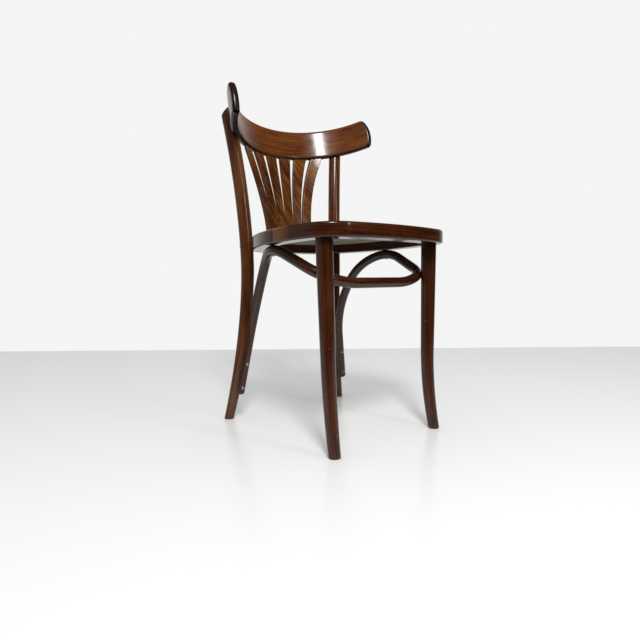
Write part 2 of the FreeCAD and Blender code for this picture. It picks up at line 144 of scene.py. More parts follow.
def colour(code):
    """sRGB hex to the linear values that the shader takes."""
    parts = [int(code[i:i + 2], 16) / 255 for i in (0, 2, 4)]
    return [p / 12.92 if p <= 0.04045 else ((p + 0.055) / 1.055) ** 2.4 for p in parts] + [1]


def node(tree, kind, settings=None):
    """Adds one shader node. settings gives each property and socket its value, or the
    output that feeds it."""
    made = tree.nodes.new(kind)
    for key, value in (settings or {}).items():
        if isinstance(value, bpy.types.NodeSocket):
            tree.links.new(value, made.inputs[key])
        elif isinstance(key, int) or key in made.inputs:
            made.inputs[key].default_value = value
        else:
            setattr(made, key, value)
    return made


WAVE_REPEAT = 0.63         # the banded pattern repeats each 0.63 of its own unit
RING_LENGTH = 300          # a growth ring's dark line runs out over this length
STAIN_PATCH = (55, 130)    # width and length of the patches where the stain took unevenly
RAY_SIZE = (1.7, 10)       # beech's rays, drawn coarser than the real ones so that they show
RUB_SIZE = (6, 25)         # how an edge's rubbed stretches come and go
# spacing of the pale flecks, partly chips and partly painted glints
KNOCK_AND_GLINT_SPACING = (7, 16)
CROSS_CUT_SIZE = (6, 24)   # the waves of the wood that was cut across its grain
HAZE_SIZE = (22, 40)       # the lacquer's faint unevenness
RELIEF_DEPTH = 0.2
GROWTH_RING_TINT = "a57c62"
RAY_TINT = "86614a"
RUBBED_WOOD = "80502a"
# tint of the pale flecks, partly chips to bare wood and partly painted glints
KNOCK_AND_GLINT_TINT = "b07a48"
CROSS_CUT_WOOD = "96622f"
GLUE_LINE = "1d0e08"


def stained_beech(name, dark, mid, light, streak=(9, 160), figure=1.0, gloss=0.15, ring_gap=8,
                  knocks_and_glints=0.0, joint=None):
    """Beech stained walnut and lacquered. Soft streaks follow the grain, growth rings run
    out in dark lines, short dark flecks are beech's rays, edges are rubbed lighter, and
    the lacquer is smooth with a faint unevenness. streak is the width and length of the
    broad streaks in millimetres, figure their contrast, gloss the lacquer's roughness,
    ring_gap the growth rings' spacing, knocks_and_glints the strength of the pale flecks,
    partly chips to bare wood and partly painted glints, and joint the place and length of
    a glued joint along the grain."""
    made = bpy.data.materials.new(name)
    made.use_nodes = True
    tree = made.node_tree
    tree.nodes.clear()
    grain = node(tree, "ShaderNodeAttribute", {"attribute_name": "grain"}).outputs["Vector"]

    def in_grain(size, shift):
        """Places in the wood for a pattern of one width and length, moved off the others."""
        scale = (1 / size[0], 1 / size[0], 1 / size[1])
        scaled = node(tree, "ShaderNodeVectorMath", {"operation": "MULTIPLY", 0: grain, 1: scale})
        moved = node(tree, "ShaderNodeVectorMath",
                     {"operation": "ADD", 0: scaled.outputs[0], 1: (shift, shift, shift)})
        return moved.outputs[0]

    def streaks(size, shift, detail=3, rough=0.6):
        """Soft streaks of one width and length that follow the grain."""
        return node(tree, "ShaderNodeTexNoise", {"Scale": 1, "Detail": detail, "Roughness": rough,
                                                 "Vector": in_grain(size, shift)}).outputs[0]

    def added_up(*shares):
        """Patterns laid on each other, each by its share."""
        total = 0
        for pattern, share in shares:
            total = node(tree, "ShaderNodeMath",
                         {"operation": "MULTIPLY_ADD", 0: pattern, 1: share, 2: total}).outputs[0]
        return total

    # broad streaks with finer ones inside them, a quarter as wide and half as long
    broad = streaks(streak, 0)
    fine = streaks((streak[0] / 4, streak[1] / 2), 17, 4, 0.7)
    stain = node(tree, "ShaderNodeMath",
                 {"operation": "SUBTRACT", 0: streaks(STAIN_PATCH, 9, 2), 1: 0.5}).outputs[0]
    tone = node(tree, "ShaderNodeMapRange",
                {"Value": added_up((broad, 0.55), (fine, 0.45), (stain, 0.4)),
                 "From Min": 0.5 - 0.16 / figure, "From Max": 0.5 + 0.19 / figure}).outputs[0]
    ramp = node(tree, "ShaderNodeValToRGB", {0: tone})
    ramp.color_ramp.elements[0].color = colour(dark)
    ramp.color_ramp.elements[1].color = colour(light)
    ramp.color_ramp.elements.new(0.5).color = colour(mid)

    # growth rings, drawn two to three times as far apart as beech's own 3 mm so that they show
    rings = node(tree, "ShaderNodeTexWave",
                 {"wave_type": "BANDS", "bands_direction": "DIAGONAL", "wave_profile": "SAW",
                  "Scale": 1, "Distortion": 3, "Detail": 3, "Detail Scale": 0.6,
                  "Vector": in_grain((ring_gap / WAVE_REPEAT, RING_LENGTH), 5)}).outputs[1]
    ring_lines = node(tree, "ShaderNodeMapRange",
                      {"Value": rings, "From Min": 0.55, "To Max": 0.45 * figure}).outputs[0]
    cells = node(tree, "ShaderNodeTexVoronoi",
                 {"Scale": 1, "Randomness": 1, "Vector": in_grain(RAY_SIZE, 3)}).outputs["Distance"]
    rays = node(tree, "ShaderNodeMapRange",
                {"Value": cells, "From Min": 0.12, "From Max": 0.42}).outputs[0]
    ray_marks = node(tree, "ShaderNodeMapRange",
                     {"Value": rays, "To Min": 0.45 * figure, "To Max": 0}).outputs[0]

    # edges rubbed through the stain, broken up so that they don't look outlined
    pointed = node(tree, "ShaderNodeNewGeometry").outputs["Pointiness"]
    corner = node(tree, "ShaderNodeMapRange",
                  {"Value": pointed, "From Min": 0.53, "From Max": 0.62}).outputs[0]
    broken = node(tree, "ShaderNodeMapRange",
                  {"Value": streaks(RUB_SIZE, 31), "From Min": 0.45, "From Max": 0.65}).outputs[0]
    edge = node(tree, "ShaderNodeMath", {"operation": "MULTIPLY", 0: corner, 1: broken}).outputs[0]
    layers = [("MULTIPLY", ring_lines, GROWTH_RING_TINT), ("MULTIPLY", ray_marks, RAY_TINT),
              ("MIX", added_up((edge, 0.5)), RUBBED_WOOD)]
    if knocks_and_glints:
        # pale flecks 1.5 to 3 mm long, no two of one size: partly chips through to pale wood and partly
        # painted glints off the lacquer
        spots = node(tree, "ShaderNodeTexVoronoi",
                     {"Scale": 1, "Randomness": 1, "Vector": in_grain(KNOCK_AND_GLINT_SPACING, 57)})
        odd = node(tree, "ShaderNodeSeparateColor", {0: spots.outputs["Color"]}).outputs[0]
        growth = node(tree, "ShaderNodeMath", {"operation": "ADD", 0: odd, 1: 0.4}).outputs[0]
        reach = node(tree, "ShaderNodeMath",
                     {"operation": "MULTIPLY", 0: spots.outputs["Distance"], 1: growth}).outputs[0]
        knock_and_glint_mask = node(tree, "ShaderNodeMapRange",
                       {"Value": reach, "From Min": 0.07, "From Max": 0.05}).outputs[0]
        layers.append(("MIX", added_up((knock_and_glint_mask, knocks_and_glints)), KNOCK_AND_GLINT_TINT))
    if joint:
        # a glued end joint, a fine line and then wood cut across its grain that fades out
        start, length = joint
        along = node(tree, "ShaderNodeSeparateXYZ", {0: grain}).outputs[2]
        past = node(tree, "ShaderNodeMath", {"operation": "SUBTRACT", 0: along, 1: start}).outputs[0]
        off_line = node(tree, "ShaderNodeMath", {"operation": "ABSOLUTE", 0: past}).outputs[0]
        glue = node(tree, "ShaderNodeMapRange",
                    {"Value": off_line, "From Min": 1.1, "From Max": 0.4}).outputs[0]
        begun = node(tree, "ShaderNodeMapRange",
                     {"Value": past, "From Min": -0.2, "From Max": 0.2}).outputs[0]
        fading = node(tree, "ShaderNodeMapRange",
                      {"Value": past, "From Min": length, "From Max": 0.3 * length}).outputs[0]
        wavy = node(tree, "ShaderNodeTexWave",
                    {"wave_type": "BANDS", "bands_direction": "Y", "Scale": 0.5, "Distortion": 5,
                     "Detail": 2, "Vector": in_grain(CROSS_CUT_SIZE, 2)}).outputs[1]
        patch = node(tree, "ShaderNodeMapRange", {"Value": wavy, "From Min": 0.1, "From Max": 0.9,
                                                  "To Min": 0.35}).outputs[0]
        for part in (begun, fading):
            patch = node(tree, "ShaderNodeMath",
                         {"operation": "MULTIPLY", 0: patch, 1: part}).outputs[0]
        layers += [("MIX", added_up((patch, 0.8)), CROSS_CUT_WOOD),
                   ("MIX", added_up((glue, 0.85)), GLUE_LINE)]
    paint = ramp.outputs[0]
    for way, share, code in layers:
        paint = node(tree, "ShaderNodeMix", {"data_type": "RGBA", "blend_type": way, 0: share,
                                             6: paint, 7: colour(code)}).outputs[2]

    haze = streaks(HAZE_SIZE, 71)
    sheen = node(tree, "ShaderNodeMapRange",
                 {"Value": haze, "From Min": 0.3, "From Max": 0.7,
                  "To Min": gloss - 0.04, "To Max": gloss + 0.06}).outputs[0]
    relief = added_up((fine, 0.5), (rays, 0.3), (haze, 0.8))
    bump = node(tree, "ShaderNodeBump", {"Strength": 0.3, "Distance": RELIEF_DEPTH * MM,
                                         "Height": relief}).outputs[0]
    surface = node(tree, "ShaderNodeBsdfPrincipled",
                   {"IOR": 1.5, "Specular IOR Level": 0.5, "Base Color": paint,
                    "Roughness": added_up((sheen, 1), (edge, 0.15)), "Normal": bump}).outputs[0]
    node(tree, "ShaderNodeOutputMaterial", {0: surface})
    return made


outline, ring_length = seat_outline()
top_width = RING_WIDTH - RABBET_WIDTH
ledge = RING_HEIGHT - PANEL_THICK
profile = quarter(RING_EDGE_ROUND, RING_EDGE_ROUND, RING_EDGE_ROUND, -math.pi / 2)
profile += [(0, RING_HEIGHT * share) for share in (0.3, 0.5, 0.7)]
profile += quarter(RING_EDGE_ROUND, RING_HEIGHT - RING_EDGE_ROUND, RING_EDGE_ROUND, math.pi)
profile += [(top_width * 0.6, RING_HEIGHT)]
profile += quarter(top_width - RABBET_EDGE_ROUND, RING_HEIGHT - RABBET_EDGE_ROUND, RABBET_EDGE_ROUND,
                   math.pi / 2, 2)
profile += [(top_width, ledge)]
profile += quarter(RING_WIDTH - LEDGE_EDGE_ROUND, ledge - LEDGE_EDGE_ROUND, LEDGE_EDGE_ROUND,
                   math.pi / 2, 2)
profile += quarter(RING_WIDTH - RING_INNER_ROUND, RING_INNER_ROUND, RING_INNER_ROUND, 0, 4)
profile += [(RING_WIDTH / 2, 0)]

JOINT_ALONG = 1045         # where the end joint shows, along the outer edge from the front
JOINT_PATCH = 62           # length of the cross-cut wood beside it
verts = [on_seat(point.x - out.x * inset, point.y - out.y * inset, height)
         for point, out, _ in outline for inset, height in profile]
faces = []
grain = []
width = len(profile)
for i, (_, _, along) in enumerate(outline):
    ahead = (i + 1) % len(outline)
    far = outline[ahead][2] if ahead else ring_length
    for j in range(width):
        beside = (j + 1) % width
        faces.append((i * width + j, i * width + beside, ahead * width + beside, ahead * width + j))
        grain += [(*profile[j], along), (*profile[beside], along)]
        grain += [(*profile[beside], far), (*profile[j], far)]
seat_ring = piece("seat_ring_wood", verts, faces, grain)
seat_ring.data.materials.append(stained_beech("lacquered_beech_ring", "2c1006", "46200d", "5f3319",
                                              (7, 150), joint=(JOINT_ALONG, JOINT_PATCH)))
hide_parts("seat_ring")
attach(seat_ring, "root")


# Seat panel
# A sheet of beech plywood, pressed to a shallow dish and dropped into the ring's rebate.
# Its top is stained and lacquered with the ring; its underside was left raw and has greyed.
PANEL_SLACK = 0.3
PANEL_EDGE_ROUND = 1.5
PANEL_LOOPS = 22           # loops of the mesh between the panel's edge and its middle
DISH_DEPTH = 3
DISH_RADIUS = 150
RAW_STREAK = (14, 160)     # width and length of the figure in the peeled veneer


def raw_plywood(name):
    """Unfinished rotary-cut beech veneer, pale and greyed, with wide soft figure."""
    made = bpy.data.materials.new(name)
    made.use_nodes = True
    tree = made.node_tree
    tree.nodes.clear()
    grain = node(tree, "ShaderNodeAttribute", {"attribute_name": "grain"}).outputs["Vector"]
    scale = (1 / RAW_STREAK[0], 1 / RAW_STREAK[0], 1 / RAW_STREAK[1])
    scaled = node(tree, "ShaderNodeVectorMath", {"operation": "MULTIPLY", 0: grain, 1: scale})
    figure = node(tree, "ShaderNodeTexNoise",
                  {"Scale": 1, "Detail": 5, "Roughness": 0.65, "Distortion": 0.6,
                   "Vector": scaled.outputs[0]}).outputs[0]
    ramp = node(tree, "ShaderNodeValToRGB", {0: figure})
    ramp.color_ramp.elements[0].position = 0.3
    ramp.color_ramp.elements[0].color = colour("8f8474")
    ramp.color_ramp.elements[1].position = 0.7
    ramp.color_ramp.elements[1].color = colour("dcd2bd")
    bump = node(tree, "ShaderNodeBump", {"Strength": 0.4, "Distance": RELIEF_DEPTH * MM,
                                         "Height": figure}).outputs[0]
    surface = node(tree, "ShaderNodeBsdfPrincipled",
                   {"Roughness": 0.75, "Specular IOR Level": 0.3, "Base Color": ramp.outputs[0],
                    "Normal": bump}).outputs[0]
    node(tree, "ShaderNodeOutputMaterial", {0: surface})
    return made


edge_inset = top_width + PANEL_SLACK
middle_y = (SEAT_FRONT_Y + SEAT_BACK_Y) / 2
ball = (DISH_RADIUS ** 2 + DISH_DEPTH ** 2) / (2 * DISH_DEPTH)
# loops round the panel, from the middle of its underside out to the edge and back over the top
loops = [(edge_inset, share / PANEL_LOOPS, ledge) for share in range(1, PANEL_LOOPS)]
loops += [(edge_inset, 1, ledge), (edge_inset, 1, ledge + PANEL_THICK / 2)]
loops += [(edge_inset + inset, 1, height) for inset, height in
          quarter(PANEL_EDGE_ROUND, RING_HEIGHT - PANEL_EDGE_ROUND, PANEL_EDGE_ROUND, math.pi, 3)]
loops += [(edge_inset + PANEL_EDGE_ROUND, share / PANEL_LOOPS, RING_HEIGHT)
          for share in range(PANEL_LOOPS - 1, 0, -1)]


def panel_point(point, out, inset, share, height):
    """A point of the panel in the seat's level plane, its top pressed to a hollow."""
    flat = point - out * inset
    x, y = flat.x * share, middle_y + (flat.y - middle_y) * share
    reach = math.hypot(x, y - middle_y)
    if height == RING_HEIGHT and reach < DISH_RADIUS:
        height -= DISH_DEPTH - (ball - math.sqrt(ball ** 2 - reach ** 2))
    return x, y, height


verts, places = [], []
for loop in loops:
    for point, out, _ in outline:
        x, y, height = panel_point(point, out, *loop)
        places.append((x, height, y))
        verts.append(on_seat(x, y, height))
count = len(outline)
faces, bare = [], []
for i in range(len(loops) - 1):
    for j in range(count):
        beside = (j + 1) % count
        faces.append((i * count + j, (i + 1) * count + j, (i + 1) * count + beside, i * count + beside))
        bare.append(i < PANEL_LOOPS)
for loop, height in ((0, ledge), (len(loops) - 1, RING_HEIGHT - DISH_DEPTH)):
    places.append((0, height, middle_y))
    verts.append(on_seat(0, middle_y, height))
    for j in range(count):
        corner = (loop * count + j, loop * count + (j + 1) % count)
        faces.append((len(verts) - 1, *(corner if loop == 0 else corner[::-1])))
        bare.append(loop == 0)
seat_panel = piece("seat_panel_plywood", verts, faces, [places[v] for face in faces for v in face])
seat_panel.data.materials.append(stained_beech("lacquered_plywood_panel", "35160a", "54290f", "6f4020",
                                               (12, 200), figure=1.2))
seat_panel.data.materials.append(raw_plywood("raw_plywood_underside"))
seat_panel.data.polygons.foreach_set("material_index", [int(b) for b in bare])
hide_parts("seat_panel")
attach(seat_panel, "root")


# Front legs
# Turned beech legs that taper to the floor and kick out at the foot, where they are bent.
# Each is glued into the ring by a tenon. They are the darkest wood, with pale specks that are partly chips
# and partly painted glints.
FRONT_LEG_X = 156.7
FRONT_LEG_Y = -179.7
FRONT_FOOT_X = 153
FRONT_FOOT_Y = -203.7
FRONT_KICK_X = 5.5
FRONT_KICK_Y = 18
FRONT_KICK_HEIGHT = 190
FRONT_TOP_DIA = 35
FRONT_FOOT_DIA = 25
FRONT_TAPER_POWER = 0.7
FRONT_LEG_IN_RING = 1.5
FOOT_CHAMFER = 1.5
FOOT_CUT_REACH = 30        # the slant of a foot's level cut is lost in the mesh over this height
STICK_STEP = 6
STICK_SHARP_EDGE = 50
PLANK_SHIFT = 7            # how much further along the plank than across it a stick is moved


def front_leg_axis(z):
    rise = z / RING_UNDER_Z
    kick = max(0, 1 - z / FRONT_KICK_HEIGHT) ** 2
    x = FRONT_FOOT_X - FRONT_KICK_X
    y = FRONT_FOOT_Y + FRONT_KICK_Y
    return Vector((x + (FRONT_LEG_X - x) * rise + FRONT_KICK_X * kick,
                   y + (FRONT_LEG_Y - y) * rise - FRONT_KICK_Y * kick, z))


def front_leg_radius(z):
    rise = max(0, z / RING_UNDER_Z)
    return (FRONT_FOOT_DIA + (FRONT_TOP_DIA - FRONT_FOOT_DIA) * rise ** FRONT_TAPER_POWER) / 2


def spread(low, high, step):
    """Even values from low to high, about a step apart."""
    count = round((high - low) / step)
    return [low + (high - low) * i / count for i in range(count + 1)]


def stick(name, spine, radii, side=1, on_floor=False, around=44, wood_start=0):
    """A round stick along a line of points. on_floor says that its first end is cut level
    with the floor instead of square. side -1 mirrors it to the sitter's right. wood_start
    is its place in the plank, so that no two sticks show the same grain."""
    verts, places = [], []
    across = Vector((1, 0, 0))
    along = 0
    for i, point in enumerate(spine):
        run = (spine[min(i + 1, len(spine) - 1)] - spine[max(i - 1, 0)]).normalized()
        across = (across - run * across.dot(run)).normalized()
        other = run.cross(across)
        along += (point - spine[i - 1]).length if i else 0
        for j in range(around):
            turn = 2 * math.pi * j / around
            reach = (across * math.cos(turn) + other * math.sin(turn)) * radii[i]
            if on_floor:
                reach -= run * reach.z / run.z * max(0, 1 - (point.z - spine[0].z) / FOOT_CUT_REACH)
            place = point + reach
            verts.append((place.x * side, place.y, place.z))
            places.append((radii[i] * math.cos(turn) + wood_start, radii[i] * math.sin(turn),
                           along + PLANK_SHIFT * wood_start))
    faces = []
    for i in range(len(spine) - 1):
        for j in range(around):
            beside = (j + 1) % around
            faces.append((i * around + j, i * around + beside,
                          (i + 1) * around + beside, (i + 1) * around + j))
    faces.append(tuple(range(around))[::-1])
    faces.append(tuple(range((len(spine) - 1) * around, len(spine) * around)))
    if side < 0:
        faces = [face[::-1] for face in faces]
    grain = [places[v] for face in faces for v in face]
    return piece(name, verts, faces, grain, STICK_SHARP_EDGE)


def standing_stick(name, axis, radius, top, side, wood_start):
    """A leg or post from its chamfered foot on the floor up to the height of its top."""
    heights = [0, FOOT_CHAMFER] + spread(FOOT_CHAMFER + 4, top, STICK_STEP)
    radii = [radius(z) for z in heights]
    radii[0] -= FOOT_CHAMFER
    return stick(name, [axis(z) for z in heights], radii, side, True, wood_start=wood_start)


# the legs' pale flecks are partly chips and partly painted glints
leg_wood = stained_beech("lacquered_beech_leg", "2b1007", "48220f", "603519", (5, 130), 0.8, knocks_and_glints=0.6)
for hand, side, wood_start in (("left", 1, 100), ("right", -1, -20)):
    leg = standing_stick("front_leg_" + hand + "_wood", front_leg_axis, front_leg_radius,
                         RING_UNDER_Z + FRONT_LEG_IN_RING, side, wood_start)
    leg.data.materials.append(leg_wood)
    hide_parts("front_leg_" + hand)
    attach(leg, "root")


# Back posts
# Steam-bent beech, one stick each from the floor to the crest rail, thickest at the seat
# and drawn in toward the foot. The top is sawn off at a slant behind the crest rail.
POST_WAIST = Vector((140.5, 143, 380))
POST_FOOT_X = 183.1
POST_FOOT_Y = 178
POST_TOP_X = 171
POST_TOP_Y = 172.4
POST_TOP_Z = 758
POST_DIA = 32.5
POST_FOOT_DIA = 23.5
POST_LOW_OUT_POWER = 1.85
POST_LOW_BACK_POWER = 1.45
POST_HIGH_OUT_POWER = 1.82
POST_HIGH_BACK_POWER = 1.6
POST_TAPER_POWER = 0.8
POST_SPARE = 26            # the post is made this much too long, then sawn off
CREST_AXIS_Y = 7.5         # the slant of the saw cut faces the middle of the crest's bend


def post_axis(z):
    low = max(0, (POST_WAIST.z - z) / POST_WAIST.z)
    high = max(0, (z - POST_WAIST.z) / (POST_TOP_Z - POST_WAIST.z))
    return Vector((POST_WAIST.x + (POST_FOOT_X - POST_WAIST.x) * low ** POST_LOW_OUT_POWER
                   + (POST_TOP_X - POST_WAIST.x) * high ** POST_HIGH_OUT_POWER,
                   POST_WAIST.y + (POST_FOOT_Y - POST_WAIST.y) * low ** POST_LOW_BACK_POWER
                   + (POST_TOP_Y - POST_WAIST.y) * high ** POST_HIGH_BACK_POWER, z))


def post_radius(z):
    share = min(1, max(0, z / POST_WAIST.z))
    return (POST_FOOT_DIA + (POST_DIA - POST_FOOT_DIA) * share ** POST_TAPER_POWER) / 2


def saw_off(made, point, direction):
    """Cuts everything beyond a plane away and closes the cut, which takes the grain of
    the wood beside it and the piece's second material."""
    mesh = bmesh.new()
    mesh.from_mesh(made.data)
    layer = mesh.loops.layers.float_vector["grain"]
    cut = bmesh.ops.bisect_plane(mesh, geom=mesh.verts[:] + mesh.edges[:] + mesh.faces[:],
                                 plane_co=point * MM, plane_no=direction, clear_outer=True, dist=1e-6)
    rim = [g for g in cut["geom_cut"] if isinstance(g, bmesh.types.BMEdge)]
    lids = bmesh.ops.contextual_create(mesh, geom=rim)["faces"]
    for lid in lids:
        lid.smooth = True
        lid.material_index = 1
        for loop in lid.loops:
            beside = [other for other in loop.vert.link_loops if other.face not in lids]
            loop[layer] = beside[0][layer]
    bmesh.ops.recalc_face_normals(mesh, faces=mesh.faces)
    mesh.to_mesh(made.data)
    mesh.free()
    made.data.set_sharp_from_angle(angle=math.radians(SHARP_EDGE))


# the posts get the pale flecks too, partly chips and partly painted glints
post_wood = stained_beech("lacquered_beech_post", "3a1c0a", "5e3418", "7a4925", (6, 130), knocks_and_glints=0.25)
# the sawn tops are end grain, which soaks up the lacquer and stays duller
sawn_wood = stained_beech("lacquered_beech_sawn_top", "3a2010", "5a371c", "7a4d2a", (3, 6), gloss=0.5)
for hand, side, wood_start in (("left", 1, 110), ("right", -1, -70)):
    post = standing_stick("back_post_" + hand + "_wood", post_axis, post_radius,
                          POST_TOP_Z + POST_SPARE, side, wood_start)
    top = post_axis(POST_TOP_Z)
    outward = Vector((top.x, top.y - CREST_AXIS_Y, 0)).normalized() + Vector((0, 0, 1))
    mirror = Vector((side, 1, 1))
    saw_off(post, top * mirror, outward * mirror)
    post.data.materials.append(post_wood)
    post.data.materials.append(sawn_wood)
    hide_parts("back_post_" + hand)
    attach(post, "root")


# Brace
# One round beech rod bent into a loop under the seat. It starts low on one back post,
# arches up under the side of the ring, runs behind the front legs and goes back the same
# way. Its ends are rounded off and it is screwed to posts, ring and legs.
ROD_DIA = 22.5
ROD_END_ROUND = 6
ROD_END_STEPS = 6
ROD_BEND_SHARE = 0.98      # how much of the run between two corners the bends may take up
ROD_STEP = 5
SAME_PLACE = 0.01          # points nearer than this are one
ROD_END_Z = 67
ROD_KNEE_Z = 260.6
ROD_TURN_BELOW_RING = 66.9
ROD_FRONT_BELOW_RING = 86.5
# the corners of the rod's line on the sitter's left, from its low end to its front run
rod_corners = [post_axis(ROD_END_Z) - Vector((0.9, 24.1, 0)),
               post_axis(ROD_KNEE_Z) - Vector((9, 23.5, 0)),
               Vector((144.3, 57.6, RING_UNDER_Z - 45.3)),
               Vector((SEAT_HALF_WIDTH - 22, -26.6, RING_UNDER_Z - 4.9)),
               front_leg_axis(RING_UNDER_Z - ROD_TURN_BELOW_RING) + Vector((2.5, 23.9, 0)),
               front_leg_axis(RING_UNDER_Z - ROD_FRONT_BELOW_RING) + Vector((0, 9.6, 0))]
rod_corners[-1].x = 94.3


def bent_line(corners, step=ROD_STEP):
    """Straight runs joined by the widest bends that fit between them, as even points."""
    line = [corners[0]]
    for before, corner, after in zip(corners, corners[1:], corners[2:]):
        reach = ROD_BEND_SHARE * min((before - corner).length, (after - corner).length) / 2
        back, ahead = (before - corner).normalized(), (after - corner).normalized()
        angle = back.angle(ahead)
        radius = reach * math.tan(angle / 2)
        middle = (back + ahead).normalized()
        centre = corner + middle * math.hypot(radius, reach)
        start, end = corner + back * reach - centre, corner + ahead * reach - centre
        sweep = math.pi - angle
        count = max(3, round(radius * sweep / step))
        for i in range(count + 1):
            turn = sweep * i / count
            line.append(centre + (start * math.sin(sweep - turn) + end * math.sin(turn)) / math.sin(sweep))
    line.append(corners[-1])
    even = [line[0]]
    for here, there in zip(line, line[1:]):
        length = (there - here).length
        parts = max(1, round(length / step))
        if length > SAME_PLACE:
            even += [here.lerp(there, (i + 1) / parts) for i in range(parts)]
    return even


line = bent_line(rod_corners + [Vector((-p.x, p.y, p.z)) for p in reversed(rod_corners)])
start_run = (line[1] - line[0]).normalized()
end_run = (line[-1] - line[-2]).normalized()
turns = [math.pi / 2 * i / ROD_END_STEPS for i in range(ROD_END_STEPS)]
# how deep in from the rod's end each loop of its rounding lies, and how much narrower it is
ends = [(ROD_END_ROUND * (1 - math.cos(turn)), ROD_END_ROUND * (1 - math.sin(turn))) for turn in turns]
spine = [line[0] + start_run * deep for deep, _ in ends] + [line[0] + start_run * ROD_END_ROUND]
beyond = ROD_END_ROUND + 1
spine += [p for p in line if (p - line[0]).length > beyond and (p - line[-1]).length > beyond]
spine += [line[-1] - end_run * ROD_END_ROUND] + [line[-1] - end_run * deep for deep, _ in reversed(ends)]
radii = [ROD_DIA / 2 - narrow for _, narrow in ends] + [ROD_DIA / 2] * (len(spine) - 2 * len(ends))
radii += [ROD_DIA / 2 - narrow for _, narrow in reversed(ends)]
brace = stick("brace_rod", spine, radii, around=40, wood_start=300)
# its colours are darkened as painted shade, for where it runs in shadow under the seat
brace.data.materials.append(stained_beech("lacquered_beech_brace_painted_shade", "2b1207", "44210d", "5b3217",
                                          (5, 130), 0.8))
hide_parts("brace")
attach(brace, "root")


# Crest rail
# A beech board of one height all along, steam-bent round a form that leans back, so that
# its ends rise at the sitter's sides. Each end is cut to one long curve, its rims are
# rounded over, and two screws hold it to each post.
CREST_RADIUS = 207
CREST_THICK = 17
CREST_HEIGHT = 79
CREST_HALF_ANGLE = math.radians(74.4)
CREST_TILT = math.radians(12.1)
CREST_MID_Y = 214.5
CREST_MID_Z = 720.5
CREST_END_BOW = 80         # radius of the end's curve
CREST_END_DROP = 10        # its centre lies this far below the board's middle
CREST_TIP_ROUND = 16
CREST_HEEL_ROUND = 6
CREST_EDGE_ROUND = 7
RIGHT_ARM_LONGER = 10      # bent by hand, the arm on the sitter's right reaches further
RIGHT_ARM_LIFT = 5
LIFT_LENGTH = 100
GRAIN_START = 900          # keeps every place along the grain above zero
DARK_EDGE = 3.5            # width of the rim on the underside and the sawn ends that is painted nearly black, painted shade on the underside
CREST_GRID = (5, 8)        # spacing of the mesh lines along the board and across it
FLAT_SAME_PLACE = 1e-4


def lean_with_crest(x, y, z):
    """From a frame at the middle of the crest's inner face, its bend axis upright."""
    return Vector((x, CREST_MID_Y + y * math.cos(CREST_TILT) + z * math.sin(CREST_TILT),
                   CREST_MID_Z - y * math.sin(CREST_TILT) + z * math.cos(CREST_TILT)))


def corner_arc(centre, radius, start, end, steps):
    """Points on a circle from one heading to another."""
    return [Vector((centre[0] + radius * math.cos(start + (end - start) * i / steps),
                    centre[1] + radius * math.sin(start + (end - start) * i / steps)))
            for i in range(steps + 1)]


def grown(loop, distance):
    """A counterclockwise loop of flat points, each moved outward by a distance."""
    moved = []
    for i, point in enumerate(loop):
        runs = [(point - loop[i - 1]).normalized(), (loop[(i + 1) % len(loop)] - point).normalized()]
        out = [Vector((run.y, -run.x)) for run in runs]
        moved.append(point + (out[0] + out[1]) * distance / (1 + max(-0.5, out[0].dot(out[1]))))
    return moved


def board(name, shape, thick, edge_round, grid, bend, grain_of, steps=6):
    """A flat board cut to shape, its rims rounded over, then bent. shape is the outline in
    the flat, counterclockwise, grid the spacing of the mesh lines, bend gives a flat point
    its place and grain_of its place in the wood."""
    mesh = bmesh.new()
    mesh.faces.new([mesh.verts.new((*inset, 0)) for inset in grown(shape, -edge_round)])
    low = Vector([min(p[i] for p in shape) for i in (0, 1)])
    high = Vector([max(p[i] for p in shape) for i in (0, 1)])
    for axis in (0, 1):
        for line in spread(low[axis], high[axis], grid[axis])[1:-1]:
            bmesh.ops.bisect_plane(mesh, geom=mesh.verts[:] + mesh.edges[:] + mesh.faces[:],
                                   plane_co=Vector((line, line, 0)),
                                   plane_no=Vector((1 - axis, axis, 0)), dist=FLAT_SAME_PLACE)
    mesh.verts.index_update()
    flat = [Vector((v.co.x, v.co.y, 0)) for v in mesh.verts]
    below = [[v.index for v in face.verts] for face in mesh.faces]
    follows = {}
    for edge in mesh.edges:
        if edge.is_boundary:
            loop = edge.link_loops[0]
            follows[loop.vert.index] = loop.link_loop_next.vert.index
    mesh.free()
    rim = [next(iter(follows))]
    while follows[rim[-1]] != rim[0]:
        rim.append(follows[rim[-1]])
    if sum(flat[a].cross(flat[b]).z for a, b in zip(rim, rim[1:] + rim[:1])) < 0:
        rim.reverse()
        below = [face[::-1] for face in below]
    count = len(flat)
    flat += [Vector((p.x, p.y, thick)) for p in flat]
    faces = [face[::-1] for face in below] + [[v + count for v in face] for face in below]
    loops = [rim]
    turns = [math.pi / 2 * i / steps for i in range(steps + 1)]
    levels = [(math.sin(turn), edge_round * (1 - math.cos(turn))) for turn in turns[1:]]
    levels += [(share, thick - height) for share, height in reversed(levels)]
    edge = [flat[v].to_2d() for v in rim]
    for share, height in levels:
        loops.append(list(range(len(flat), len(flat) + len(rim))))
        flat += [Vector((*p, height)) for p in grown(edge, edge_round * share)]
    loops.append([v + count for v in rim])
    for under, over in zip(loops, loops[1:]):
        for i in range(len(rim)):
            beside = (i + 1) % len(rim)
            faces.append([under[i], under[beside], over[beside], over[i]])
    grain = [grain_of(flat[v]) for face in faces for v in face]
    return piece(name, [bend(p) for p in flat], faces, grain)


